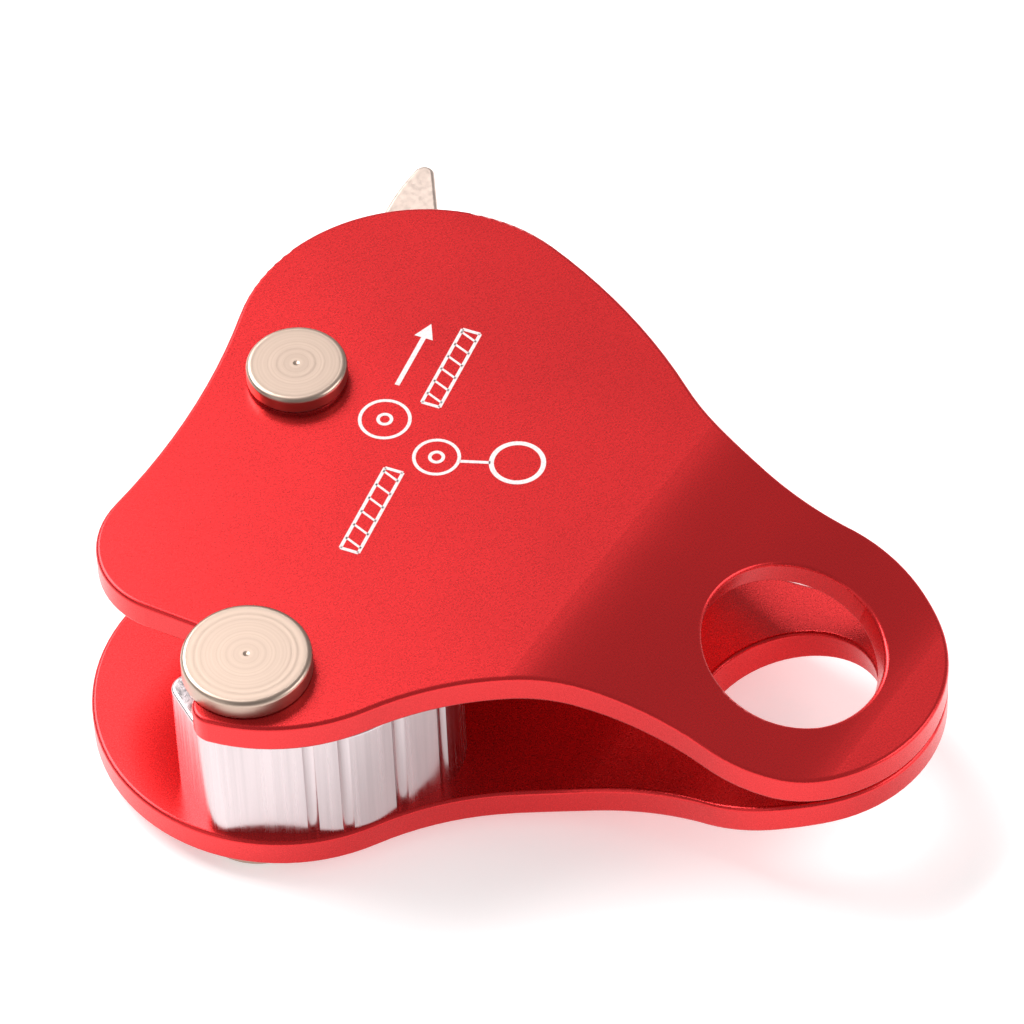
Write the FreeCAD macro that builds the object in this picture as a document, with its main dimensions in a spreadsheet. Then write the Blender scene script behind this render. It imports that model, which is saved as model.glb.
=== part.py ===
"""Rope descender: a swinging front plate and a fixed rear plate on two headed pins.

The rope runs along X between a toothless steel cam and a fluted aluminium block.
Frame: origin halfway between the plates, in line along Z with the middle of each plate's eye.
Each eye is square to its sloping sheet, so the two bores lean away from Z by the joggle angle.
+X runs along the rope towards the anchor, +Z is the plates' normal, out of the front plate.
All sizes are in millimetres and live in the spreadsheet "Sizes".
"""
import FreeCAD, Part
import math
import os

import Sketcher

Vector = FreeCAD.Vector
Z_AXIS = Vector(0, 0, 1)
TOUCH = 1e-4  # mm: closer than this counts as touching
MEET = 1e-3  # mm: ends of neighbouring arcs closer than this are joined without a line
LEAST_CUT = 1e-3  # mm3: a pocket that takes away less than this has missed
SAME_AXIS = 1.0  # mm: a round edge nearer the pivot than this belongs to its bore
UPRIGHT = 0.05  # largest Z of a unit normal on an upright wall
DRAFT = 1.0  # mm: size and place a circle is drawn with before its formulas take over

doc = FreeCAD.newDocument("rope_descender")

# --------------------------------------------------------------------------- driving sizes
SIZES = {
    # plates
    "plate_thickness": 4.0,
    "plate_gap": 17.2,
    "plate_edge_radius": 0.5,
    "tip_clearance": 0.3,
    "overshoot": 1.0,
    "eye_radius": 11.0,
    "eye_lobe_radius": 18.6,
    # both plates step towards each other on the way to the eye
    "joggle_heading": -69.5,
    "joggle_angle": 16.0,
    "joggle_corner": -19.0,
    "joggle_crest_radius": 28.0,
    "joggle_foot_radius": 20.0,
    # outline lobes and the curves that join them
    "crown_x": -8.6,
    "crown_y": 60.8,
    "crown_radius": 22.5,
    "heel_x": -43.3,
    "heel_y": 41.6,
    "heel_radius": 23.4,
    "nape_radius": 80.0,
    "front_nape_radius": 89.6,
    "waist_radius": 38.1,
    "shoulder_radius": 83.0,
    "shoulder_turn": 7.2,
    "throat_radius": 37.3,
    # hook slot of the front plate: its outer side is concentric with the pivot, its mouth flares
    "hook_clearance": 0.1,
    "upper_lip_x": -48.7,
    "upper_lip_y": 52.2,
    "upper_lip_radius": 10.9,
    "lower_lip_radius": 2.7,
    # the two pins
    "pivot_x": -23.4,
    "pivot_y": 65.4,
    "hook_x": -54.4,
    "hook_y": 32.2,
    "pivot_radius": 4.0,
    "pivot_head_radius": 6.1,
    "hook_radius": 4.0,
    "neck_radius": 3.0,
    "hook_head_radius": 7.65,
    "head_rise": 2.6,
    "head_edge_radius": 0.6,
    "centre_mark_radius": 0.4,
    "centre_mark_depth": 0.12,
    "running_gap": 0.15,
    "running_fit": 0.05,
    # rear collars, riveted over the pin ends
    "collar_height": 2.0,
    "collar_edge_radius": 0.5,
    "rivet_rise": 0.6,
    "rivet_edge_radius": 0.54,
    # bushes and washers round the pivot
    "bush_radius": 5.2,
    "friction_washer_radius": 5.7,
    "friction_washer_height": 0.45,
    "thrust_washer_radius": 6.0,
    "thrust_washer_height": 0.75,
    # cam
    "cam_face_gap": 0.9,
    "cam_lobe_radius": 14.5,
    "cam_lobe_offset": 6.0,
    "cam_lobe_heading": -115.0,
    "cam_hub_radius": 9.4,
    "cam_edge_radius": 0.5,
    "tail_tip_x": 11.3,
    "tail_tip_y": 87.2,
    "tail_tip_radius": 1.3,
    "tail_corner_x": 2.9,
    "tail_corner_y": 77.2,
    "tail_corner_radius": 3.0,
    "tail_belly_radius": 24.0,
    "tail_back_radius": 32.0,
    "tail_back_x": 20.8,
    "tail_nape_radius": 40.0,
    "stop_pin_radius": 1.5,
    "stop_pin_top": 2.0,
    "stop_pin_heading": 288.0,
    "stop_clearance": 0.05,
    # cam spring; its slot in the cam is a little longer than the cam's travel
    "wire_radius": 0.45,
    "coil_radius": 6.75,
    "coil_pitch": 1.1,
    "coil_height": 3.3,
    "spring_pocket_radius": 7.7,
    "spring_pocket_depth": 4.6,
    "spring_leg": 2.6,
    "spring_leg_clearance": 0.1,
    "cam_travel": 40.0,
    "spring_lift": 0.7,
    "spring_leg_heading": 200.0,
    "spring_slot_heading": 200.0,
    "leg_bore_floor": 1.0,
    # block
    "block_edge_radius": 0.4,
    "block_front_y": 39.1,
    "block_end_radius": 7.8,
    "block_end_x": -38.0,
    "block_end_y": 26.0,
    "block_belly_x": -44.5,
    "block_belly_y": 33.5,
    "block_belly_radius": 14.8,
    "block_toe_x": -58.9,
    "block_toe_y": 30.9,
    "block_toe_radius": 3.6,
    "block_nose_x": -59.6,
    "block_nose_radius": 2.0,
    "flute_radius": 1.0,
    "flute_depth": 0.3,
    "first_flute_heading": -128.0,
    "second_flute_heading": -112.0,
    "third_flute_heading": -85.0,
    "end_flute_heading": -84.0,
    "screw_x": -41.0,
    "screw_y": 30.0,
    "screw_radius": 2.0,
    "screw_head_radius": 3.8,
    "screw_length": 14.0,
    "screw_socket": 1.25,
    "screw_socket_depth": 1.6,
}

sheet = doc.addObject("Spreadsheet::Sheet", "Sizes")
for row, (alias, value) in enumerate(SIZES.items(), start=1):
    sheet.set("A%d" % row, alias)
    sheet.set("B%d" % row, str(value))
    sheet.setAlias("B%d" % row, alias)
doc.recompute()


def size(alias):
    """The value of one spreadsheet cell."""
    return float(sheet.get(alias))


def bind(target, **expressions):
    """Bind properties of an object to spreadsheet formulas; cells are written as [name]."""
    for path, formula in expressions.items():
        target.setExpression(path.replace("__", "."), formula.replace("[", "Sizes.").replace("]", ""))
    return target


def origin_plane(body, role):
    """One of a body's own three base planes."""
    return next(plane for plane in body.Origin.OriginFeatures if plane.Role == role)


# --------------------------------------------------------------------------- outlines
class Curve:
    """One arc of an outline that runs anticlockwise; bulge is +1 outwards, -1 inwards."""

    def __init__(self, name, centre, radius, bulge=1, radius_cell=None, x_cell=None, y_cell=None):
        self.name = name
        self.centre = centre
        self.radius = radius
        self.bulge = bulge
        self.radius_cell = radius_cell
        self.x_cell = x_cell
        self.y_cell = y_cell


def joined_centre(first, second, radius, side):
    """Centre of a hollow arc that touches two round lobes from outside; side is left (+1) or right."""
    return crossing(first.centre, first.radius + radius, second.centre, second.radius + radius, side)


def shared_normal(first, second):
    """Outward normal where two neighbouring arcs, or the straight line between them, meet."""
    span = second.centre - first.centre
    signed = first.bulge * first.radius - second.bulge * second.radius
    if abs(abs(signed) - span.Length) < TOUCH:
        return Vector(span) * (1.0 / signed)
    turn = math.acos(signed / span.Length)
    angle = math.atan2(span.y, span.x) - turn
    return Vector(math.cos(angle), math.sin(angle), 0)


def draw_outline(name, curves, body=None):
    """A closed sketch of tangent arcs in the XY plane, its radii and centres bound to the sheet."""
    if body:
        sketch = body.newObject("Sketcher::SketchObject", name)
        sketch.AttachmentSupport = (origin_plane(body, "XY_Plane"), [""])
        sketch.MapMode = "FlatFace"
    else:
        sketch = doc.addObject("Sketcher::SketchObject", name)
    count = len(curves)
    normals = [shared_normal(curves[i], curves[(i + 1) % count]) for i in range(count)]
    ends = []
    for i, curve in enumerate(curves):
        into = curve.centre + normals[i - 1] * (curve.bulge * curve.radius)
        out = curve.centre + normals[i] * (curve.bulge * curve.radius)
        first, last = (into, out) if curve.bulge > 0 else (out, into)
        start = math.atan2(first.y - curve.centre.y, first.x - curve.centre.x)
        stop = math.atan2(last.y - curve.centre.y, last.x - curve.centre.x)
        circle = Part.Circle(curve.centre, Z_AXIS, curve.radius)
        sketch.addGeometry(Part.ArcOfCircle(circle, start, stop), False)
        ends.append((into, out))
    entry = {i: (1 if curve.bulge > 0 else 2) for i, curve in enumerate(curves)}
    leave = {i: (2 if curve.bulge > 0 else 1) for i, curve in enumerate(curves)}
    for i in range(count):
        after = (i + 1) % count
        gap = (ends[after][0] - ends[i][1]).Length
        if gap < MEET:
            sketch.addConstraint(Sketcher.Constraint("Tangent", i, leave[i], after, entry[after]))
        else:
            line = sketch.addGeometry(Part.LineSegment(ends[i][1], ends[after][0]), False)
            sketch.addConstraint(Sketcher.Constraint("Tangent", i, leave[i], line, 1))
            sketch.addConstraint(Sketcher.Constraint("Tangent", line, 2, after, entry[after]))
    for i, curve in enumerate(curves):
        wanted = [
            ("radius", curve.radius_cell, Sketcher.Constraint("Radius", i, curve.radius)),
            ("x", curve.x_cell, Sketcher.Constraint("DistanceX", -1, 1, i, 3, curve.centre.x)),
            ("y", curve.y_cell, Sketcher.Constraint("DistanceY", -1, 1, i, 3, curve.centre.y)),
        ]
        for kind, cell, constraint in wanted:
            if cell:
                index = sketch.addConstraint(constraint)
                label = "%s_%s" % (curve.name, kind)
                sketch.renameConstraint(index, label)
                bind(sketch, **{"Constraints__" + label: cell})
    if sketch.solve() != 0:
        raise RuntimeError("sketch %s does not solve" % name)
    return sketch


def crossing(first, first_radius, second, second_radius, side):
    """The point at given distances from two others, on the left (+1) or right of their line."""
    span = second - first
    along = (first_radius ** 2 - second_radius ** 2 + span.Length ** 2) / (2 * span.Length)
    across = math.sqrt(first_radius ** 2 - along ** 2)
    ahead = Vector(span).normalize()
    left = Vector(-ahead.y, ahead.x, 0)
    return first + ahead * along + left * (side * across)


def heading(degrees):
    """The unit vector at an angle from +X in the XY plane."""
    return Vector(math.cos(math.radians(degrees)), math.sin(math.radians(degrees)), 0)


def lobe(name, x_cell, y_cell, radius_cell, x, y, radius):
    """A round lobe whose centre and radius are all given."""
    return Curve(name, Vector(x, y, 0), radius, 1, radius_cell, x_cell, y_cell)


def round_at(name, prefix):
    """A lobe whose three cells share one prefix."""
    cells = [prefix + "_x", prefix + "_y", prefix + "_radius"]
    return lobe(name, *["[%s]" % cell for cell in cells], *[size(cell) for cell in cells])


def hollow(name, first, second, cell, side):
    """A hollow arc of the given radius between two lobes, on the left (+1) or right of their line."""
    radius = size(cell)
    return Curve(name, joined_centre(first, second, radius, side), radius, -1, "[%s]" % cell)


PIVOT = Vector(size("pivot_x"), size("pivot_y"), 0)
HOOK = Vector(size("hook_x"), size("hook_y"), 0)
INNER = "[plate_gap] / 2"
OUTER = "([plate_gap] / 2 + [plate_thickness])"
HEAD_SEAT = "(" + OUTER + " + [running_gap] + [friction_washer_height])"
HEAD_TOP = "(" + OUTER + " + [head_rise])"
REAR = "(-" + OUTER + " - [collar_height])"
CAM_FACE = "([plate_gap] / 2 - [cam_face_gap])"
BLOCK_TOP = "([plate_gap] / 2 - [running_gap])"

eye = lobe("eye", "0", "0", "[eye_lobe_radius]", 0, 0, size("eye_lobe_radius"))
crown = round_at("crown", "crown")
heel = round_at("heel", "heel")
shoulder = Curve(
    "shoulder",
    crown.centre - heading(size("shoulder_turn")) * (size("shoulder_radius") - crown.radius),
    size("shoulder_radius"),
    1,
    "[shoulder_radius]",
    None,
    "[crown_y] - ([shoulder_radius] - [crown_radius]) * sin([shoulder_turn] * 1deg)",
)
throat = hollow("throat", shoulder, eye, "throat_radius", 1)
waist = hollow("waist", heel, eye, "waist_radius", -1)
nape = hollow("nape", crown, heel, "nape_radius", -1)


def rear_outline():
    """The full outline: eye, right side, crown, left side, heel and waist."""
    return draw_outline("rear_outline", [eye, throat, shoulder, crown, nape, heel, waist])


def front_outline():
    """The same lobes with a hook slot, open to the left, that swings over the lower pin's neck."""
    swing = (HOOK - PIVOT).Length
    half = size("neck_radius") + size("hook_clearance")
    low = size("lower_lip_radius")
    upper = round_at("upper_lip", "upper_lip")
    front_nape = hollow("nape", crown, upper, "front_nape_radius", -1)
    seat = Curve("slot_seat", HOOK, half, -1, "[neck_radius] + [hook_clearance]", "[hook_x]", "[hook_y]")
    outer = Curve("slot_outer", PIVOT, swing + half, -1, None, "[pivot_x]", "[pivot_y]")
    lower_centre = crossing(PIVOT, outer.radius + low, heel.centre, heel.radius - low, -1)
    lower = Curve("lower_lip", lower_centre, low, 1, "[lower_lip_radius]")
    chain = [eye, throat, shoulder, crown, front_nape, upper, seat, outer, lower, heel, waist]
    return draw_outline("front_outline", chain)


# --------------------------------------------------------------------------- simple solids
def cylinder(name, radius, bottom, top, x="0", y="0"):
    """An upright cylinder whose radius, ends and axis are formulas."""
    solid = doc.addObject("Part::Cylinder", name)
    bind(solid, Radius=radius, Height="(%s) - (%s)" % (top, bottom), Placement__Base__z=bottom)
    return bind(solid, Placement__Base__x=x, Placement__Base__y=y)


def cone(name, low_radius, high_radius, bottom, top, x="0", y="0"):
    """An upright cone whose radii, ends and axis are formulas."""
    solid = doc.addObject("Part::Cone", name)
    bind(solid, Radius1=low_radius, Radius2=high_radius, Height="(%s) - (%s)" % (top, bottom))
    return bind(solid, Placement__Base__x=x, Placement__Base__y=y, Placement__Base__z=bottom)


def cut(name, base, tools):
    """The base with every tool taken away."""
    result = base
    for number, tool in enumerate(tools, start=1):
        step = doc.addObject("Part::Cut", "%s_cut_%d" % (name, number))
        step.Base = result
        step.Tool = tool
        result = step
    return result


def fuse(name, solids):
    """Several touching solids as one."""
    result = doc.addObject("Part::MultiFuse", name + "_fuse")
    result.Shapes = solids
    return result


def rounded(name, base, wanted, radius):
    """The base with a fillet on every edge that the test picks."""
    doc.recompute()
    picked = [number for number, edge in enumerate(base.Shape.Edges, start=1) if wanted(base.Shape, edge)]
    result = doc.addObject("Part::Fillet", name + "_rounded")
    result.Base = base
    result.Edges = [(number, radius, radius) for number in picked]
    return result


def is_level_circle(edge, radius, level):
    """Whether an edge is a full circle of this radius, flat at this height."""
    curve = edge.Curve
    if not isinstance(curve, Part.Circle) or not edge.Closed:
        return False
    return abs(curve.Radius - radius) < TOUCH and abs(curve.Center.z - level) < TOUCH


def ring(name, outer, inner, bottom, top, x="[pivot_x]", y="[pivot_y]"):
    """A bush, washer or collar."""
    body = cylinder(name + "_body", outer, bottom, top, x, y)
    bore = cylinder(name + "_bore", inner, bottom + " - [overshoot]", top + " + [overshoot]", x, y)
    return cut(name, body, [bore])


# --------------------------------------------------------------------------- plates
def sheet_line(sketch, first, offset):
    """One face of the joggled sheet, seen edge on: flat, crest bend, slope, foot bend, flat."""
    turn = math.radians(size("joggle_angle"))
    middle = (size("plate_gap") + size("plate_thickness")) / 2
    drop = (size("plate_gap") - size("tip_clearance")) / 2
    reach = 2 * size("crown_radius") + size("crown_y")
    crest = size("joggle_crest_radius") + offset
    foot = size("joggle_foot_radius") - offset
    bend = math.tan(turn / 2)
    crest_x = size("joggle_corner") - size("joggle_crest_radius") * bend
    foot_x = size("joggle_corner") + drop / math.tan(turn) + size("joggle_foot_radius") * bend
    crest_centre = Vector(crest_x, middle + offset - crest, 0)
    foot_centre = Vector(foot_x, middle + offset - drop + foot, 0)
    quarter = math.pi / 2
    start = Vector(-reach, middle + offset, 0)
    top_of_slope = crest_centre + Vector(math.sin(turn), math.cos(turn), 0) * crest
    foot_of_slope = foot_centre - Vector(math.sin(turn), math.cos(turn), 0) * foot
    end = Vector(reach, middle + offset - drop, 0)
    pieces = [
        Part.LineSegment(start, crest_centre + Vector(0, crest, 0)),
        Part.ArcOfCircle(Part.Circle(crest_centre, Z_AXIS, crest), quarter - turn, quarter),
        Part.LineSegment(top_of_slope, foot_of_slope),
        Part.ArcOfCircle(Part.Circle(foot_centre, Z_AXIS, foot), 3 * quarter - turn, 3 * quarter),
        Part.LineSegment(foot_centre - Vector(0, foot, 0), end),
    ]
    for piece in pieces:
        sketch.addGeometry(piece, False)
    flat, crest_arc, slope, foot_arc, tip = range(first, first + len(pieces))
    for constraint in (
        Sketcher.Constraint("Tangent", flat, 2, crest_arc, 2),
        Sketcher.Constraint("Tangent", crest_arc, 1, slope, 1),
        Sketcher.Constraint("Tangent", slope, 2, foot_arc, 1),
        Sketcher.Constraint("Tangent", foot_arc, 2, tip, 1),
        Sketcher.Constraint("Horizontal", flat),
        Sketcher.Constraint("Horizontal", tip),
    ):
        sketch.addConstraint(constraint)
    lift = "([plate_gap] + [plate_thickness]) / 2 + (%s)" % offset
    sink = "([plate_gap] - [tip_clearance]) / 2"
    bend_cell = "[joggle_corner] - [joggle_crest_radius] * tan([joggle_angle] / 2 * 1deg)"
    driven = [
        ("start", "DistanceX", (-1, 1, flat, 1), start.x, "-2 * [crown_radius] - [crown_y]"),
        ("level", "DistanceY", (-1, 1, flat, 1), start.y, lift),
        ("end", "DistanceX", (-1, 1, tip, 2), end.x, "2 * [crown_radius] + [crown_y]"),
        ("low", "DistanceY", (-1, 1, tip, 2), end.y, lift + " - " + sink),
        ("crest", "Radius", (crest_arc,), crest, "[joggle_crest_radius] + (%s)" % offset),
        ("foot", "Radius", (foot_arc,), foot, "[joggle_foot_radius] - (%s)" % offset),
        ("bend", "DistanceX", (-1, 1, crest_arc, 3), crest_centre.x, bend_cell),
        ("slope", "Angle", (slope,), -turn, "-[joggle_angle] * 1deg"),
    ]
    for label, kind, places, value, formula in driven:
        index = sketch.addConstraint(Sketcher.Constraint(kind, *places, value))
        sketch.renameConstraint(index, "%s_%d" % (label, first))
        bind(sketch, **{"Constraints__%s_%d" % (label, first): formula})


def joggled_sheet():
    """A wide strip of the front plate's sheet, bent down towards the eye."""
    profile = doc.addObject("Sketcher::SketchObject", "joggle_profile")
    half = size("plate_thickness") / 2
    sheet_line(profile, 0, half)
    sheet_line(profile, 5, -half)
    for corner in (1, 2):
        top_end = (0, 1) if corner == 1 else (4, 2)
        low_end = (5, 1) if corner == 1 else (9, 2)
        ends = [profile.getPoint(*top_end), profile.getPoint(*low_end)]
        edge = profile.addGeometry(Part.LineSegment(*ends), False)
        profile.addConstraint(Sketcher.Constraint("Coincident", edge, 1, *top_end))
        profile.addConstraint(Sketcher.Constraint("Coincident", edge, 2, *low_end))
    if profile.solve() != 0:
        raise RuntimeError("the joggle profile does not solve")
    turned = FreeCAD.Rotation(size("joggle_heading"), 0, 90)
    profile.Placement = FreeCAD.Placement(Vector(0, 0, 0), turned)
    strip = doc.addObject("Part::Extrusion", "front_sheet")
    strip.Base = profile
    strip.DirMode = "Normal"
    strip.Solid = True
    strip.Symmetric = True
    bind(strip, LengthFwd="6 * [crown_radius]")
    mirrored = doc.addObject("Part::Mirroring", "rear_sheet")
    mirrored.Source = strip
    mirrored.Normal = Z_AXIS
    return strip, mirrored


def blank(name, outline, strip):
    """The outline stamped out of a joggled sheet."""
    stamp = doc.addObject("Part::Extrusion", name + "_stamp")
    stamp.Base = outline
    stamp.DirMode = "Normal"
    stamp.Solid = True
    stamp.Symmetric = True
    bind(stamp, LengthFwd="2 * [plate_gap] + 2 * [plate_thickness]")
    shape = doc.addObject("Part::Common", name + "_blank")
    shape.Base = stamp
    shape.Tool = strip
    return shape


def through(name, radius, x="0", y="0"):
    """A cutter right through both plates."""
    return cylinder(name, radius, "-2 * [plate_gap]", "2 * [plate_gap]", x, y)


def eye_cutter(name, side):
    """A cutter square to the sloping sheet, centred where its middle passes over the origin."""
    turn = math.radians(size("joggle_angle"))
    level = "(([plate_gap] + [plate_thickness]) / 2 + [joggle_corner] * tan([joggle_angle] * 1deg))"
    middle = (size("plate_gap") + size("plate_thickness")) / 2 + size("joggle_corner") * math.tan(turn)
    downhill = heading(size("joggle_heading"))
    axis = downhill * math.sin(turn) + Z_AXIS * (side * math.cos(turn))
    tool = doc.addObject("Part::Cylinder", name)
    base = Vector(0, 0, side * middle) - axis * size("plate_gap")
    tool.Placement = FreeCAD.Placement(base, FreeCAD.Rotation(Z_AXIS, axis))
    return bind(
        tool, Radius="[eye_radius]", Height="2 * [plate_gap]",
        Placement__Base__z="%d * (%s - [plate_gap] * cos([joggle_angle] * 1deg))" % (side, level),
    )


def is_wall(face, spot):
    """Whether a face is the eye's wall or an upright wall of the outline."""
    surface = face.Surface
    if isinstance(surface, Part.Cylinder) and abs(surface.Radius - size("eye_radius")) < TOUCH:
        return True
    return abs(face.normalAt(*surface.parameter(spot)).z) < UPRIGHT


def is_rim(shape, edge):
    """Whether an edge lies between a face of the sheet and a wall of the outline or eye."""
    if isinstance(edge.Curve, Part.Circle) and edge.Closed:
        centre = Vector(edge.Curve.Center.x, edge.Curve.Center.y, 0)
        if (centre - PIVOT).Length < SAME_AXIS:
            return False
    faces = shape.ancestorsOfType(edge, Part.Face)
    spot = edge.valueAt((edge.FirstParameter + edge.LastParameter) / 2)
    return len(faces) == 2 and sum(is_wall(face, spot) for face in faces) == 1


def front_plate(strip):
    """Swings on the pivot pin and hooks under the lower pin's head."""
    shape = blank("front_plate", front_outline(), strip)
    holes = [
        eye_cutter("front_eye", 1),
        through("front_bush_bore", "[bush_radius]", "[pivot_x]", "[pivot_y]"),
    ]
    return rounded("front_plate", cut("front_plate", shape, holes), is_rim, size("plate_edge_radius"))


def rear_plate(strip):
    """Carries both pins, the block, the stop pin and one leg of the cam spring."""
    shape = blank("rear_plate", rear_outline(), strip)
    eye_hole = eye_cutter("rear_eye", -1)
    edged = rounded("rear_plate", cut("rear_eye_only", shape, [eye_hole]), is_rim, size("plate_edge_radius"))
    floor = "-" + OUTER
    leg_spot = PIVOT + heading(size("spring_leg_heading")) * size("coil_radius")
    holes = [
        through("rear_pivot_bore", "[pivot_radius]", "[pivot_x]", "[pivot_y]"),
        through("rear_hook_bore", "[hook_radius]", "[hook_x]", "[hook_y]"),
        through("rear_screw_bore", "[screw_radius]", "[screw_x]", "[screw_y]"),
        cone(
            "rear_screw_sink", "[screw_head_radius]", "[screw_radius]",
            floor, floor + " + [screw_head_radius] - [screw_radius]", "[screw_x]", "[screw_y]",
        ),
        through("rear_stop_bore", "[stop_pin_radius]", *stop_pin_place()),
        cylinder(
            "rear_leg_bore", "[wire_radius] + [spring_leg_clearance]",
            floor + " + [leg_bore_floor]", "0", str(leg_spot.x), str(leg_spot.y),
        ),
    ]
    return cut("rear_plate", edged, holes)


# --------------------------------------------------------------------------- pins and collars
def headed_pin(name, shank, neck, head, seat, shoulder, x, y):
    """A turned pin: rivet end, shank, neck and a flat head with a lathe centre mark."""
    rivet = REAR + " - [rivet_rise]"
    parts = [
        cylinder(name + "_shank", shank, rivet, shoulder, x, y),
        cylinder(name + "_neck", neck, shoulder, seat, x, y),
        cylinder(name + "_head", head, seat, HEAD_TOP, x, y),
    ]
    mark = cone(
        name + "_mark", "0", "[centre_mark_radius]", HEAD_TOP + " - [centre_mark_depth]", HEAD_TOP, x, y
    )
    turned = cut(name, fuse(name, parts), [mark])
    doc.recompute()
    box = turned.Shape.BoundBox
    wide = box.XLength / 2

    def on_head(_, edge):
        return is_level_circle(edge, wide, box.ZMax)

    def on_rivet(_, edge):
        return is_level_circle(edge, size("pivot_radius"), box.ZMin)

    soft = rounded(name, turned, on_head, size("head_edge_radius"))
    return rounded(name + "_rivet", soft, on_rivet, size("rivet_edge_radius"))


def pivot_pin():
    """The upper pin: plate, cam and washers turn on it."""
    return headed_pin(
        "pivot_pin", "[pivot_radius]", "[pivot_radius]", "[pivot_head_radius]",
        HEAD_SEAT, INNER, "[pivot_x]", "[pivot_y]",
    )


def hook_pin():
    """The lower pin: its neck fills the front plate's slot and its head holds the plate down."""
    return headed_pin(
        "hook_pin", "[hook_radius]", "[neck_radius]", "[hook_head_radius]",
        OUTER + " + [running_gap]", BLOCK_TOP, "[hook_x]", "[hook_y]",
    )


def rear_collar(name, outer, inner, x, y):
    """A steel collar that the pin's end is riveted over, at the back of the rear plate."""
    plain = ring(name, outer, inner, REAR, "-" + OUTER, x, y)
    doc.recompute()
    low = plain.Shape.BoundBox.ZMin
    wide = plain.Shape.BoundBox.XLength / 2

    def outer_rim(_, edge):
        return is_level_circle(edge, wide, low)

    return rounded(name, plain, outer_rim, size("collar_edge_radius"))


# --------------------------------------------------------------------------- cam
def cam_chain():
    """Cam outline: rope lobe, belly, tail corner, tail tip, tail back, nape and hub."""
    cam_lobe = Curve(
        "lobe", PIVOT + heading(size("cam_lobe_heading")) * size("cam_lobe_offset"), size("cam_lobe_radius"),
        1, "[cam_lobe_radius]",
        "[pivot_x] + [cam_lobe_offset] * cos([cam_lobe_heading] * 1deg)",
        "[pivot_y] + [cam_lobe_offset] * sin([cam_lobe_heading] * 1deg)",
    )
    corner = round_at("corner", "tail_corner")
    tip = round_at("tip", "tail_tip")
    hub = Curve("hub", PIVOT, size("cam_hub_radius"), 1, "[cam_hub_radius]", "[pivot_x]", "[pivot_y]")
    back_radius = size("tail_back_radius")
    aside = size("tail_back_x") - tip.centre.x
    below = math.sqrt((back_radius - tip.radius) ** 2 - aside ** 2)
    back_centre = Vector(size("tail_back_x"), tip.centre.y - below, 0)
    back = Curve("back", back_centre, back_radius, 1, "[tail_back_radius]", "[tail_back_x]")
    belly = hollow("belly", cam_lobe, corner, "tail_belly_radius", -1)
    tail_nape = hollow("tail_nape", back, hub, "tail_nape_radius", -1)
    return [cam_lobe, belly, corner, tip, back, tail_nape, hub]


def stop_pin_place():
    """The stop pin stands against the hollow of the cam's nape at rest."""
    tail_nape = cam_chain()[5]
    reach = tail_nape.radius - size("stop_pin_radius") - size("stop_clearance")
    spot = tail_nape.centre + heading(size("stop_pin_heading")) * reach
    return str(spot.x), str(spot.y)


def leg_slot_chain():
    """A kidney slot in the cam, longer than the cam's travel, that the spring's leg stands in."""
    half = size("wire_radius") + size("spring_leg_clearance")
    reach = size("coil_radius")
    first = size("spring_slot_heading")
    last = first + size("cam_travel")
    width = "[wire_radius] + [spring_leg_clearance]"
    outer = Curve("slot_far", PIVOT, reach + half, 1, None, "[pivot_x]", "[pivot_y]")
    inner = Curve("slot_near", PIVOT, reach - half, -1, None, "[pivot_x]", "[pivot_y]")
    turn = "cos([spring_slot_heading] * 1deg)", "sin([spring_slot_heading] * 1deg)"
    end_turn = "cos(([spring_slot_heading] + [cam_travel]) * 1deg)"
    near_end = Curve(
        "near_end", PIVOT + heading(first) * reach, half, 1, width,
        "[pivot_x] + [coil_radius] * " + turn[0], "[pivot_y] + [coil_radius] * " + turn[1],
    )
    far_end = Curve(
        "far_end", PIVOT + heading(last) * reach, half, 1, None, "[pivot_x] + [coil_radius] * " + end_turn
    )
    return [outer, far_end, inner, near_end]


def pad(body, sketch, length, middle=True):
    """A pad of the sketch, both ways from its plane or upwards."""
    feature = body.newObject("PartDesign::Pad", sketch.Name + "_pad")
    feature.Profile = sketch
    if middle:
        feature.Midplane = True
    bind(feature, Length=length)


def pocket(body, sketch, depth):
    """A pocket upwards from the sketch's plane; the volume shows that it cuts."""
    doc.recompute()
    before = body.Shape.Volume
    feature = body.newObject("PartDesign::Pocket", sketch.Name + "_pocket")
    feature.Profile = sketch
    feature.Reversed = True
    bind(feature, Length=depth)
    doc.recompute()
    if body.Shape.Volume > before - LEAST_CUT:
        raise RuntimeError(sketch.Name + " cuts nothing")


def round_sketch(body, name, radius, level, x, y):
    """A circle in a plane at the given height, for a bore or pocket."""
    sketch = body.newObject("Sketcher::SketchObject", name)
    sketch.AttachmentSupport = (origin_plane(body, "XY_Plane"), [""])
    sketch.MapMode = "FlatFace"
    bind(sketch, AttachmentOffset__Base__z=level)
    sketch.addGeometry(Part.Circle(Vector(DRAFT, DRAFT, 0), Z_AXIS, DRAFT), False)
    for label, kind, places, formula in (
        ("radius", "Radius", (0,), radius),
        ("x", "DistanceX", (-1, 1, 0, 3), x),
        ("y", "DistanceY", (-1, 1, 0, 3), y),
    ):
        index = sketch.addConstraint(Sketcher.Constraint(kind, *places, DRAFT))
        sketch.renameConstraint(index, label)
        bind(sketch, **{"Constraints__" + label: formula})
    return sketch


def soften(body, wanted, radius_cell):
    """Fillet the body's edges that the test picks."""
    doc.recompute()
    base = body.Tip
    names = [
        "Edge%d" % number
        for number, edge in enumerate(body.Shape.Edges, start=1)
        if wanted(body.Shape, edge)
    ]
    feature = body.newObject("PartDesign::Fillet", body.Name + "_edges")
    feature.Base = (base, names)
    bind(feature, Radius=radius_cell)


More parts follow.
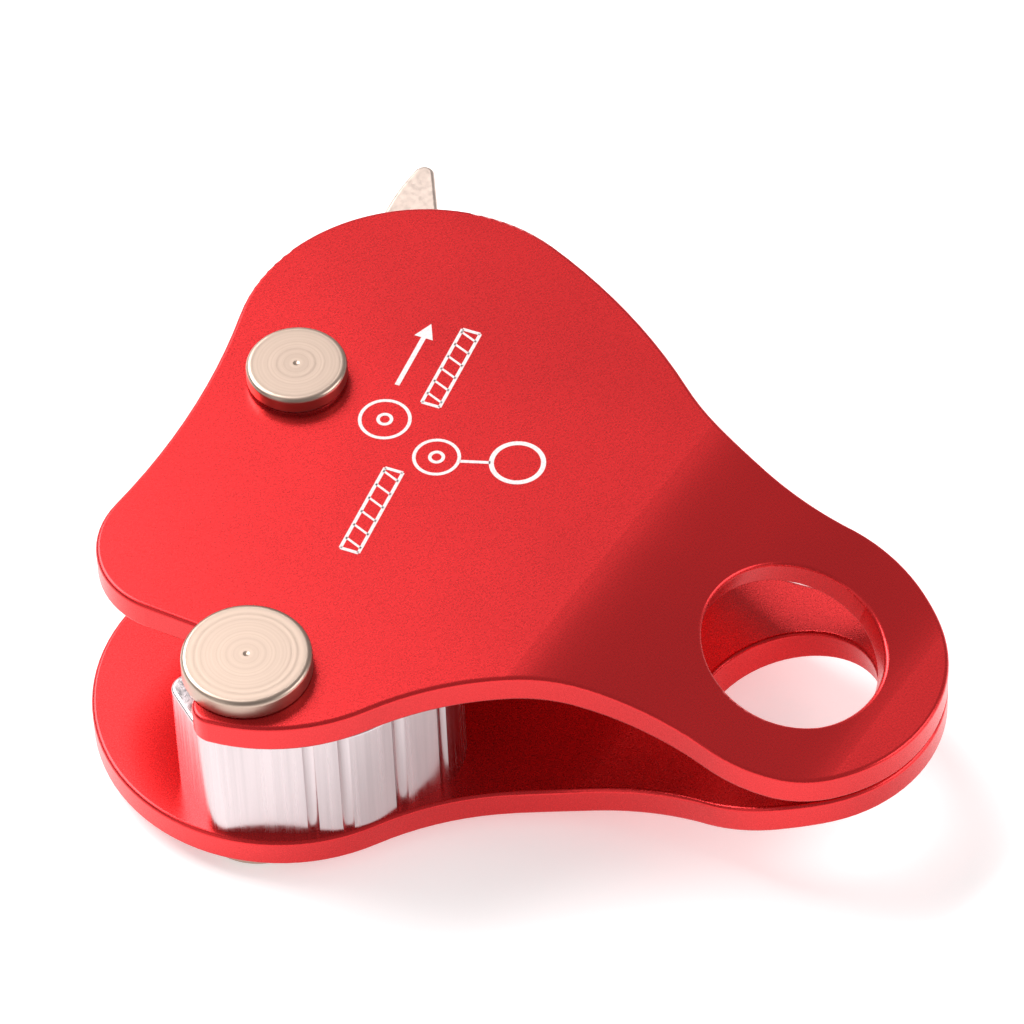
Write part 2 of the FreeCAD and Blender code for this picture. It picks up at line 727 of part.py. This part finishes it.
def cam():
    """Steel cam: a round lobe bears on the rope and a tail stands out past the plates."""
    body = doc.addObject("PartDesign::Body", "cam_body")
    pad(body, draw_outline("cam_outline", cam_chain(), body), "2 * " + CAM_FACE)
    face = "-" + CAM_FACE

    def face_edge(_, edge):
        return edge.BoundBox.ZLength < TOUCH

    soften(body, face_edge, "[cam_edge_radius]")
    at_pivot = ("[pivot_x]", "[pivot_y]")
    pocket(body, round_sketch(body, "cam_bore", "[bush_radius]", face, *at_pivot), "2 * " + CAM_FACE)
    well = round_sketch(body, "spring_pocket", "[spring_pocket_radius]", face, *at_pivot)
    pocket(body, well, "[spring_pocket_depth]")
    slot = draw_outline("leg_slot", leg_slot_chain(), body)
    bind(slot, AttachmentOffset__Base__z=face)
    pocket(body, slot, "[spring_pocket_depth] + [spring_leg]")
    return body


def cam_spring():
    """Torsion spring: a short coil with one leg into the rear plate and one into the cam."""
    low = -size("plate_gap") / 2 + size("cam_face_gap") + size("spring_lift")
    turns = size("coil_height") / size("coil_pitch")
    helix = Part.makeHelix(size("coil_pitch"), size("coil_height"), size("coil_radius"))
    start = Vector(size("coil_radius"), 0, 0)
    slope = math.atan2(size("coil_pitch"), 2 * math.pi * size("coil_radius"))
    along = Vector(0, math.cos(slope), math.sin(slope))
    profile = Part.Wire([Part.makeCircle(size("wire_radius"), start, along)])
    coil = Part.Wire(helix.Edges).makePipeShell([profile], True, False)
    leg = size("spring_leg")
    ends = [start, heading(360 * turns) * size("coil_radius") + Vector(0, 0, size("coil_height"))]
    legs = [
        Part.makeCylinder(size("wire_radius"), leg, ends[0], Vector(0, 0, -1)),
        Part.makeCylinder(size("wire_radius"), leg, ends[1], Z_AXIS),
        Part.makeSphere(size("wire_radius"), ends[0]),
        Part.makeSphere(size("wire_radius"), ends[1]),
    ]
    spring = doc.addObject("Part::Feature", "cam_spring_shape")
    spring.Shape = coil.fuse(legs)
    turned = FreeCAD.Rotation(Z_AXIS, size("spring_leg_heading"))
    spring.Placement = FreeCAD.Placement(PIVOT + Vector(0, 0, low), turned)
    return spring


# --------------------------------------------------------------------------- block
def block_chain():
    """Block outline: nose and toe on the left, belly below, the round end on the right."""
    nose_cell = "[block_front_y] - [block_nose_radius]"
    high_cell = "[block_front_y] - [block_end_radius]"
    nose_y = size("block_front_y") - size("block_nose_radius")
    high_y = size("block_front_y") - size("block_end_radius")
    end = size("block_end_radius")
    nose = lobe(
        "nose", "[block_nose_x]", nose_cell, "[block_nose_radius]",
        size("block_nose_x"), nose_y, size("block_nose_radius"),
    )
    high = lobe("high", "[block_end_x]", high_cell, "[block_end_radius]", size("block_end_x"), high_y, end)
    low = lobe(
        "low", "[block_end_x]", "[block_end_y]", "[block_end_radius]",
        size("block_end_x"), size("block_end_y"), end,
    )
    return [low, high, nose, round_at("toe", "block_toe"), round_at("belly", "block_belly")]


def block():
    """Aluminium block on the lower pin; its flat side faces the rope, its outside is fluted."""
    body = doc.addObject("PartDesign::Body", "block_body")
    outline = draw_outline("block_outline", block_chain(), body)
    bind(outline, AttachmentOffset__Base__z="-" + INNER)
    pad(body, outline, BLOCK_TOP + " + " + INNER, middle=False)

    def top_edge(shape, edge):
        return edge.BoundBox.ZMin > shape.BoundBox.ZMax - TOUCH

    soften(body, top_edge, "[block_edge_radius]")
    for arc, name in (
        ("block_belly", "first_flute"),
        ("block_belly", "second_flute"),
        ("block_belly", "third_flute"),
        ("block_end", "end_flute"),
    ):
        reach = "([%s_radius] + [flute_radius] - [flute_depth])" % arc
        flute = round_sketch(
            body, name, "[flute_radius]", "-" + INNER,
            "[%s_x] + %s * cos([%s_heading] * 1deg)" % (arc, reach, name),
            "[%s_y] + %s * sin([%s_heading] * 1deg)" % (arc, reach, name),
        )
        pocket(body, flute, "[plate_gap]")
    bore = round_sketch(body, "block_bore", "[hook_radius]", "-" + INNER, "[hook_x]", "[hook_y]")
    pocket(body, bore, "[plate_gap]")
    tapped = round_sketch(body, "block_tapped", "[screw_radius]", "-" + INNER, "[screw_x]", "[screw_y]")
    pocket(body, tapped, "[screw_length] - [plate_thickness] + [overshoot]")
    return body


def block_screw():
    """Countersunk hexagon socket screw that stops the block turning on the lower pin."""
    floor = "(-" + OUTER + ")"
    head_top = floor + " + [screw_head_radius] - [screw_radius]"
    at_screw = ("[screw_x]", "[screw_y]")
    shank = cylinder("screw_shank", "[screw_radius]", head_top, floor + " + [screw_length]", *at_screw)
    head = cone("screw_head", "[screw_head_radius]", "[screw_radius]", floor, head_top, *at_screw)
    socket = doc.addObject("Part::Prism", "screw_socket_cutter")
    socket.Polygon = 6
    bind(
        socket, Circumradius="[screw_socket] / cos(30deg)", Height="[screw_socket_depth]",
        Placement__Base__x="[screw_x]", Placement__Base__y="[screw_y]", Placement__Base__z=floor,
    )
    return cut("block_screw", fuse("block_screw", [shank, head]), [socket])


def stop_pin():
    """Dowel in the rear plate that the cam's nape rests against."""
    return cylinder("stop_pin_body", "[stop_pin_radius]", "-" + OUTER, "[stop_pin_top]", *stop_pin_place())


# --------------------------------------------------------------------------- assembly
front_strip, rear_strip = joggled_sheet()
bush_bore = "[pivot_radius] + [running_fit]"
washer_bore = "[pivot_radius] + [running_gap]"
washer_seat = OUTER + " + [running_gap] / 2"
thrust_seat = INNER + " - [running_fit] - [thrust_washer_height]"
at_upper = ("[pivot_x]", "[pivot_y]")
at_lower = ("[hook_x]", "[hook_y]")
NODES = {
    "front_plate": front_plate(front_strip),
    "rear_plate": rear_plate(rear_strip),
    "upper_pin": pivot_pin(),
    "lower_pin": hook_pin(),
    "upper_pin_collar": rear_collar("upper_collar", "[pivot_head_radius]", "[pivot_radius]", *at_upper),
    "lower_pin_collar": rear_collar("lower_collar", "[hook_head_radius]", "[hook_radius]", *at_lower),
    "plate_bush": ring("plate_bush", "[bush_radius]", bush_bore, INNER, OUTER),
    "head_friction_washer": ring(
        "friction_washer", "[friction_washer_radius]", washer_bore,
        washer_seat, washer_seat + " + [friction_washer_height]",
    ),
    "front_thrust_washer": ring(
        "front_thrust_washer", "[thrust_washer_radius]", washer_bore,
        thrust_seat, thrust_seat + " + [thrust_washer_height]",
    ),
    "rear_thrust_washer": ring(
        "rear_thrust_washer", "[thrust_washer_radius]", washer_bore,
        "-" + INNER, "-" + INNER + " + [thrust_washer_height]",
    ),
    "cam": cam(),
    "cam_bush": ring("cam_bush", "[bush_radius]", bush_bore, "-" + CAM_FACE, CAM_FACE),
    "cam_spring": cam_spring(),
    "cam_stop_pin": stop_pin(),
    "brake_block": block(),
    "block_screw": block_screw(),
}
for node, piece in NODES.items():
    piece.Label = node

doc.recompute()
for item in doc.Objects:
    if "Invalid" in item.State or "Error" in item.State:
        raise RuntimeError("%s failed: %s" % (item.Name, item.State))
os.makedirs("parts", exist_ok=True)
for node, piece in NODES.items():
    shape = piece.Shape
    if shape.isNull() or not shape.isValid() or shape.Volume <= 0:
        raise RuntimeError(node + " has no valid shape")
    shape.exportStep("parts/%s.step" % node)
    print("%-22s %d solid(s) %9.1f mm3" % (node, len(shape.Solids), shape.Volume))
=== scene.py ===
"""Studio scene of a rope descender.

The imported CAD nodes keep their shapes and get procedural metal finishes. A text-free printed
marking lies on the front plate. All lengths are in metres, in the part's own frame.
"""

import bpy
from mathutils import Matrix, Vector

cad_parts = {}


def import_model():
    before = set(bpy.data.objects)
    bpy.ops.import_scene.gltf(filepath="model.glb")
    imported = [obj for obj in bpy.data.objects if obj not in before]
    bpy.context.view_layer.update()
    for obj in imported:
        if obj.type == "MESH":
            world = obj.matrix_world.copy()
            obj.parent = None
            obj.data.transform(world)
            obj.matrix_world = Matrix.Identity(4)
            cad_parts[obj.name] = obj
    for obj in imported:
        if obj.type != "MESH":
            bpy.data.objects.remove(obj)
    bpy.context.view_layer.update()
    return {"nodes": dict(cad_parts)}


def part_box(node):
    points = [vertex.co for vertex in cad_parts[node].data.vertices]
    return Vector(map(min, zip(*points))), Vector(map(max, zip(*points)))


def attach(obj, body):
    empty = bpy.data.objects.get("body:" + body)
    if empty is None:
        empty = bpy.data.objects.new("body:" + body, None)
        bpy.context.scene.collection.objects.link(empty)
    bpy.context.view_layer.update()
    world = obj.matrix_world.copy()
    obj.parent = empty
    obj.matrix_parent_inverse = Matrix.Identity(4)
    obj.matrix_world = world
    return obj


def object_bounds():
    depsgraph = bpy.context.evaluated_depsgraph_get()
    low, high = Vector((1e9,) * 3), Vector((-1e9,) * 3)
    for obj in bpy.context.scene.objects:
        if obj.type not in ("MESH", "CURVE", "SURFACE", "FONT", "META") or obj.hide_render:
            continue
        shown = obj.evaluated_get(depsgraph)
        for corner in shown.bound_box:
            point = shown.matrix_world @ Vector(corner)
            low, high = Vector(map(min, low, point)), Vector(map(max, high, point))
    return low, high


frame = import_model()

import math

import bmesh
import bpy
from mathutils import Matrix, Vector

MM = 0.001

NODES = frame["nodes"]


def middle(node):
    """Centre of a node's box."""
    low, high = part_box(node)
    return (low + high) / 2


PLATE_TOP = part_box("front_plate")[1].z
UPPER_PIN = middle("upper_pin")
LOWER_PIN = middle("lower_pin")
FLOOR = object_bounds()[0].z


# ------------------------------------------------------------------ shader helpers
FLAT, SHARP = 0.01, 0.12  # how far a bevelled normal turns on a flat face and on a sharp edge
BEVEL_SAMPLES = 4
RING_DETAIL = 2.0
TONE_GRAIN = (0.35, 0.65)  # the part of the grain's range that the colour follows
ROUGH_GRAIN = (0.3, 0.7)  # the part that the roughness follows


class Finish:
    """One node material built round a Principled BSDF, in the object's own coordinates."""

    def __init__(self, name, metallic, roughness):
        self.material = bpy.data.materials.new(name)
        self.material.use_nodes = True
        self.nodes = self.material.node_tree.nodes
        self.links = self.material.node_tree.links
        self.shader = self.nodes["Principled BSDF"]
        self.roughness = roughness
        self.shader.inputs["Metallic"].default_value = metallic
        self.place = self.nodes.new("ShaderNodeTexCoord").outputs["Object"]

    def link(self, source, target):
        self.links.new(source, target)

    def math(self, operation, first, second=0.0):
        """One arithmetic step on sockets or numbers."""
        node = self.nodes.new("ShaderNodeMath")
        node.operation = operation
        for socket, value in zip(node.inputs, (first, second)):
            if isinstance(value, (int, float)):
                socket.default_value = value
            else:
                self.link(value, socket)
        return node.outputs[0]

    def scaled(self, stretch):
        """The place, stretched along each axis."""
        node = self.nodes.new("ShaderNodeVectorMath")
        node.operation = "MULTIPLY"
        self.link(self.place, node.inputs[0])
        node.inputs[1].default_value = stretch
        return node.outputs[0]

    def noise(self, scale, detail=2.0, place=None):
        """Soft noise between 0 and 1, scale in features per metre."""
        node = self.nodes.new("ShaderNodeTexNoise")
        node.inputs["Scale"].default_value = scale
        node.inputs["Detail"].default_value = detail
        self.link(place or self.place, node.inputs["Vector"])
        return node.outputs["Fac"]

    def rings(self, centre, scale):
        """Fine uneven rings about an upright axis, as a lathe tool leaves them."""
        parts = self.nodes.new("ShaderNodeSeparateXYZ")
        self.link(self.place, parts.inputs[0])
        across = self.math("SUBTRACT", parts.outputs["X"], centre.x)
        along = self.math("SUBTRACT", parts.outputs["Y"], centre.y)
        across_squared = self.math("MULTIPLY", across, across)
        along_squared = self.math("MULTIPLY", along, along)
        radius = self.math("SQRT", self.math("ADD", across_squared, along_squared))
        node = self.nodes.new("ShaderNodeTexNoise")
        node.noise_dimensions = "1D"
        node.inputs["Scale"].default_value = scale
        node.inputs["Detail"].default_value = RING_DETAIL
        self.link(radius, node.inputs["W"])
        return node.outputs["Fac"]

    def edges(self, width):
        """1 on edges sharper than the width, 0 on flat faces."""
        bevel = self.nodes.new("ShaderNodeBevel")
        bevel.samples = BEVEL_SAMPLES
        bevel.inputs["Radius"].default_value = width
        plain = self.nodes.new("ShaderNodeNewGeometry")
        dot = self.nodes.new("ShaderNodeVectorMath")
        dot.operation = "DOT_PRODUCT"
        self.link(bevel.outputs["Normal"], dot.inputs[0])
        self.link(plain.outputs["Normal"], dot.inputs[1])
        away = self.math("SUBTRACT", 1.0, dot.outputs["Value"])
        return self.spread(away, FLAT, SHARP)

    def spread(self, value, low, high, to_low=0.0, to_high=1.0):
        """A value's range mapped onto another, clamped."""
        node = self.nodes.new("ShaderNodeMapRange")
        for socket, number in zip(list(node.inputs)[1:5], (low, high, to_low, to_high)):
            socket.default_value = number
        self.link(value, node.inputs["Value"])
        return node.outputs["Result"]

    def mix(self, amount, first, second):
        """Between two colours, or a colour and a socket."""
        node = self.nodes.new("ShaderNodeMix")
        node.data_type = "RGBA"
        colours = [socket for socket in node.inputs if socket.type == "RGBA"]
        self.link(amount, node.inputs["Factor"])
        for socket, value in zip(colours, (first, second)):
            if isinstance(value, tuple):
                socket.default_value = value + (1.0,)
            else:
                self.link(value, socket)
        return [socket for socket in node.outputs if socket.type == "RGBA"][0]

    def tone(self, grain, colour, darker, lighter, span=None):
        """A colour that follows the grain from a darker to a lighter shade."""
        amount = self.spread(grain, *(span or TONE_GRAIN))
        return self.mix(amount, shade(colour, darker), shade(colour, lighter))

    def finish(self, colour, grain, rough_span, depth):
        """Colour, roughness that follows the grain, and a bump as deep as given."""
        self.link(colour, self.shader.inputs["Base Color"])
        low = self.roughness - rough_span
        high = self.roughness + rough_span
        self.link(self.spread(grain, *ROUGH_GRAIN, low, high), self.shader.inputs["Roughness"])
        bump = self.nodes.new("ShaderNodeBump")
        bump.inputs["Strength"].default_value = 1.0
        bump.inputs["Distance"].default_value = depth
        self.link(grain, bump.inputs["Height"])
        self.link(bump.outputs["Normal"], self.shader.inputs["Normal"])
        return self.material


def shade(colour, factor):
    """A colour made lighter or darker."""
    return tuple(min(1.0, channel * factor) for channel in colour)


# ------------------------------------------------------------------ finishes
def anodised_red():
    """Satin red anodising: a fine blasted grain, a little unevenness, and sharp edges painted a
    lighter red as a painted highlight.
    """
    red = (0.68, 0.024, 0.027)
    finish = Finish("anodised_red", metallic=0.82, roughness=0.28)
    finish.shader.inputs["Coat Weight"].default_value = 0.12
    finish.shader.inputs["Coat Roughness"].default_value = 0.18
    colour = finish.tone(finish.noise(scale=45.0), red, darker=0.93, lighter=1.05, span=(0.3, 0.7))
    # Painted highlight: sharp edges are mixed a little towards a lighter pink red, standing in for
    # light caught on the edges.
    painted_edge_highlight = finish.math("MULTIPLY", finish.edges(width=0.35 * MM), 0.22)
    red_with_edge_highlight = finish.mix(painted_edge_highlight, colour, (0.85, 0.16, 0.17))
    grain = finish.noise(scale=3600.0)
    return finish.finish(red_with_edge_highlight, grain, rough_span=0.02, depth=0.00015 * MM)


def turned(name, centre):
    """Turned steel with a warm tone and faint rings about its pin's axis."""
    steel = (0.50, 0.38, 0.31)
    finish = Finish(name, metallic=1.0, roughness=0.36)
    rings = finish.rings(centre, scale=2400.0)
    colour = finish.tone(rings, steel, darker=0.94, lighter=1.06)
    return finish.finish(colour, rings, rough_span=0.07, depth=0.004 * MM)


def cast_steel():
    """The cam's lightly polished casting."""
    steel = (0.68, 0.55, 0.48)
    finish = Finish("cast_steel", metallic=0.9, roughness=0.38)
    grain = finish.noise(scale=1400.0, detail=4.0)
    colour = finish.tone(grain, steel, darker=0.93, lighter=1.05)
    return finish.finish(colour, grain, rough_span=0.06, depth=0.006 * MM)


def bare_aluminium():
    """Bright extruded aluminium with lines along the extrusion, which is upright."""
    bright = (0.61, 0.53, 0.54)
    finish = Finish("bare_aluminium", metallic=1.0, roughness=0.24)
    streaks = finish.noise(scale=1.0, detail=3.0, place=finish.scaled((1500.0, 1500.0, 22.0)))
    broad = finish.noise(scale=1.0, detail=1.0, place=finish.scaled((260.0, 260.0, 6.0)))
    fine_share = finish.math("MULTIPLY", streaks, 0.6)
    broad_share = finish.math("MULTIPLY", broad, 0.4)
    mixed = finish.math("ADD", fine_share, broad_share)
    colour = finish.tone(mixed, bright, darker=0.88, lighter=1.05)
    return finish.finish(colour, mixed, rough_span=0.09, depth=0.010 * MM)


def grained(name, colour, metallic, roughness, scale, depth):
    """A plain finish with one even grain, for small parts."""
    finish = Finish(name, metallic, roughness)
    grain = finish.noise(scale, detail=3.0)
    tone = finish.tone(grain, colour, darker=0.88, lighter=1.06)
    return finish.finish(tone, grain, rough_span=0.05, depth=depth)


def printed_white():
    """Silk-screened ink, slightly thin in places."""
    ink = (0.90, 0.82, 0.81)
    thin = (0.84, 0.62, 0.61)
    finish = Finish("printed_white", metallic=0.0, roughness=0.5)
    grain = finish.noise(scale=3000.0, detail=3.0)
    tone = finish.mix(finish.spread(grain, 0.3, 0.6), thin, ink)
    return finish.finish(tone, grain, rough_span=0.06, depth=0.002 * MM)


def dress(material, *names):
    """Gives the CAD nodes one material."""
    for name in names:
        NODES[name].data.materials.clear()
        NODES[name].data.materials.append(material)


dress(anodised_red(), "front_plate", "rear_plate")
dress(turned("turned_upper", UPPER_PIN), "upper_pin", "upper_pin_collar")
dress(turned("turned_lower", LOWER_PIN), "lower_pin", "lower_pin_collar")
dress(cast_steel(), "cam")
dress(bare_aluminium(), "brake_block")
dress(
    grained("sintered_bronze", (0.62, 0.42, 0.20), 1.0, 0.4, 2200.0, 0.008 * MM),
    "plate_bush", "cam_bush",
)
dress(
    grained("drawn_steel", (0.55, 0.55, 0.56), 1.0, 0.3, 1800.0, 0.004 * MM),
    "cam_spring", "cam_stop_pin", "head_friction_washer",
)
dress(
    grained("washer_plastic", (0.85, 0.84, 0.80), 0.0, 0.5, 900.0, 0.010 * MM),
    "front_thrust_washer", "rear_thrust_washer",
)
dress(grained("black_steel", (0.02, 0.02, 0.022), 0.6, 0.42, 1600.0, 0.006 * MM), "block_screw")


# ------------------------------------------------------------------ printed marking
INK_DEPTH = 0.03 * MM
INK_ROOT = INK_DEPTH / 3  # how far the ink reaches into the plate
LINE = 0.42 * MM
BOLD = 0.6 * MM
RING_STEPS = 40
ROPE_HALF = 1.15 * MM
ROPE_TOP = Vector((-2.6, 58.4, 0)) * MM
ROPE_FOOT = Vector((-34.6, 39.4, 0)) * MM


class Ink:
    """Flat strokes of ink, gathered in one mesh just proud of the plate."""

    def __init__(self):
        self.mesh = bmesh.new()

    def patch(self, outline):
        """A closed flat patch with a little thickness."""
        low = [self.mesh.verts.new((p.x, p.y, PLATE_TOP - INK_ROOT)) for p in outline]
        high = [self.mesh.verts.new((p.x, p.y, PLATE_TOP + INK_DEPTH)) for p in outline]
        self.mesh.faces.new(high)
        self.mesh.faces.new(list(reversed(low)))
        for number in range(len(outline)):
            after = (number + 1) % len(outline)
            self.mesh.faces.new((low[number], low[after], high[after], high[number]))

    def stroke(self, start, end, width=LINE):
        """A straight stroke with square ends."""
        ahead = (end - start).normalized()
        side = Vector((-ahead.y, ahead.x, 0)) * (width / 2)
        self.patch([start - side, end - side, end + side, start + side])

    def ring(self, centre, radius, width=LINE):
        """A whole ring of ink."""
        levels = (PLATE_TOP - INK_ROOT, PLATE_TOP + INK_DEPTH)
        rows = []
        for number in range(RING_STEPS):
            turn = math.radians(360 * number / RING_STEPS)
            ahead = Vector((math.cos(turn), math.sin(turn), 0))
            row = []
            for reach, level in ((-1, 0), (1, 0), (1, 1), (-1, 1)):
                spot = centre + ahead * (radius + reach * width / 2)
                row.append(self.mesh.verts.new((spot.x, spot.y, levels[level])))
            rows.append(row)
        for number, here in enumerate(rows):
            there = rows[(number + 1) % len(rows)]
            for corner in range(len(here)):
                beside = (corner + 1) % len(here)
                self.mesh.faces.new((here[corner], there[corner], there[beside], here[beside]))

    def piece(self, name, material):
        """The finished piece, riding with the front plate."""
        bmesh.ops.recalc_face_normals(self.mesh, faces=self.mesh.faces)
        data = bpy.data.meshes.new(name)
        self.mesh.to_mesh(data)
        self.mesh.free()
        data.materials.append(material)
        made = bpy.data.objects.new(name, data)
        bpy.context.scene.collection.objects.link(made)
        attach(made, "front_side")
        return made


ALONG = (ROPE_TOP - ROPE_FOOT).normalized()
ASIDE = Vector((-ALONG.y, ALONG.x, 0))
ROPE_LENGTH = (ROPE_TOP - ROPE_FOOT).length
# Places on the drawing are a share of the rope's length and a distance to its left.
ROPE_PARTS = ((0.0, 0.36), (0.66, 1.0))
LAY_PITCH = 2.0 * MM
LAY_START = 0.35
LAY_SLANT = 0.025
LAY_LINE = LINE * 0.7
WHEELS = ((0.55, 4.2 * MM, 3.0 * MM), (0.46, -3.9 * MM, 2.7 * MM))
HUB_RADIUS = 0.8 * MM
LINK = ((0.47, -6.7 * MM), (0.50, -10.2 * MM))
HANGER = (0.53, -13.2 * MM)
HANGER_RADIUS = 3.1 * MM
ARROW = (0.70, 0.92)
ARROW_OFFSET = 5.0 * MM
ARROW_HEAD = 2.4 * MM
ARROW_BARB = 1.2 * MM


def on_rope(share, offset=0.0):
    """A point at a share of the rope's drawn length, moved sideways."""
    return ROPE_FOOT + ALONG * (ROPE_LENGTH * share) + ASIDE * offset


def rope_drawing(material):
    """A rope's two edges and slanting lay marks, left open where the device stands."""
    ink = Ink()
    for low, high in ROPE_PARTS:
        for side in (-ROPE_HALF, ROPE_HALF):
            ink.stroke(on_rope(low, side), on_rope(high, side))
        ink.stroke(on_rope(low, -ROPE_HALF), on_rope(low, ROPE_HALF))
        ink.stroke(on_rope(high, -ROPE_HALF), on_rope(high, ROPE_HALF))
        marks = int((high - low) * ROPE_LENGTH / LAY_PITCH)
        for number in range(marks):
            share = low + (high - low) * (number + LAY_START) / marks
            ink.stroke(on_rope(share, -ROPE_HALF), on_rope(share + LAY_SLANT, ROPE_HALF), LAY_LINE)
    return ink.piece("marking_rope", material)


def device_drawing(material):
    """Two wheels that hold the rope between them, and a plain ring hung beside it."""
    ink = Ink()
    for share, offset, radius in WHEELS:
        ink.ring(on_rope(share, offset), radius)
        ink.ring(on_rope(share, offset), HUB_RADIUS)
    ink.stroke(on_rope(*LINK[0]), on_rope(*LINK[1]))
    ink.ring(on_rope(*HANGER), HANGER_RADIUS, BOLD)
    return ink.piece("marking_device", material)


def arrow_drawing(material):
    """A solid arrow along the rope, towards the anchor."""
    ink = Ink()
    start, end = (on_rope(share, ARROW_OFFSET) for share in ARROW)
    ink.stroke(start, end, BOLD)
    tip = end + ALONG * ARROW_HEAD
    ink.patch([end + ASIDE * ARROW_BARB, end - ASIDE * ARROW_BARB, tip])
    return ink.piece("marking_arrow", material)


white = printed_white()
for drawing in (rope_drawing, device_drawing, arrow_drawing):
    drawing(white)


# ------------------------------------------------------------------ studio
AIM = Vector((-16.04 * MM, 32.35 * MM, PLATE_TOP))
FLOOR_HALF = 3.0
FLOOR_GLOW = 0.42
WORLD_GLOW = 0.34
AZIMUTH, ELEVATION, ROLL = math.radians(-35.0), math.radians(48.9), math.radians(2.5)
CAMERA_DISTANCE = 823.5 * MM
FOCAL_LENGTH, SENSOR_WIDTH = 246.1, 36.0  # mm, as Blender's camera takes them
NEAREST = 0.01
# Each light's name, place from the aim, width, height and watts.
SOFTBOXES = (
    ("key_light", Vector((-0.45, 2.25, 2.55)), 2.7, 1.8, 139.5),
    ("left_light", Vector((-0.95, -0.10, 0.55)), 0.5, 0.7, 0.7),
    ("fill_light", Vector((0.70, -0.75, 0.50)), 0.8, 0.5, 4.8),
)


def floor():
    """A wide pale floor under the lowest point."""
    data = bpy.data.meshes.new("studio_floor")
    signs = ((-1, -1), (1, -1), (1, 1), (-1, 1))
    corners = [(x * FLOOR_HALF, y * FLOOR_HALF, FLOOR) for x, y in signs]
    data.from_pydata(corners, [], [(0, 1, 2, 3)])
    made = bpy.data.objects.new("studio_floor", data)
    bpy.context.scene.collection.objects.link(made)
    pale = Finish("studio_pale", metallic=0.0, roughness=0.9)
    tone = pale.mix(pale.noise(scale=6.0), (0.94, 0.94, 0.94), (0.96, 0.96, 0.96))
    pale.shader.inputs["Emission Color"].default_value = (1.0, 1.0, 1.0, 1.0)
    pale.shader.inputs["Emission Strength"].default_value = FLOOR_GLOW
    data.materials.append(pale.finish(tone, pale.noise(scale=400.0), 0.03, 0.01 * MM))


def softbox(name, offset, width, height, power):
    """A rectangular area light aimed at the object."""
    light = bpy.data.lights.new(name, "AREA")
    light.shape = "RECTANGLE"
    light.size = width
    light.size_y = height
    light.energy = power
    made = bpy.data.objects.new(name, light)
    made.location = AIM + offset
    made.rotation_mode = "QUATERNION"
    made.rotation_quaternion = offset.to_track_quat("Z", "Y")
    bpy.context.scene.collection.objects.link(made)


def world():
    """Even pale surroundings, shown without a film curve."""
    made = bpy.data.worlds.new("studio_world")
    made.use_nodes = True
    made.node_tree.nodes["Background"].inputs["Color"].default_value = (1.0, 1.0, 1.0, 1.0)
    made.node_tree.nodes["Background"].inputs["Strength"].default_value = WORLD_GLOW
    bpy.context.scene.world = made
    bpy.context.scene.view_settings.view_transform = "Standard"


def camera():
    """A long lens at the main view, slightly rolled."""
    right = Vector((math.cos(AZIMUTH), math.sin(AZIMUTH), 0))
    level = Vector((math.sin(AZIMUTH), -math.cos(AZIMUTH), 0))
    back = level * math.cos(ELEVATION) + Vector((0, 0, math.sin(ELEVATION)))
    upward = back.cross(right)
    across = right * math.cos(ROLL) - upward * math.sin(ROLL)
    vertical = right * math.sin(ROLL) + upward * math.cos(ROLL)
    lens = bpy.data.cameras.new("studio_camera")
    lens.lens = FOCAL_LENGTH
    lens.sensor_width = SENSOR_WIDTH
    lens.clip_start = NEAREST
    made = bpy.data.objects.new("studio_camera", lens)
    turn = Matrix((across, vertical, back)).transposed().to_4x4()
    made.matrix_world = Matrix.Translation(AIM + back * CAMERA_DISTANCE) @ turn
    bpy.context.scene.collection.objects.link(made)
    bpy.context.scene.camera = made


floor()
world()
for box in SOFTBOXES:
    softbox(*box)
camera()
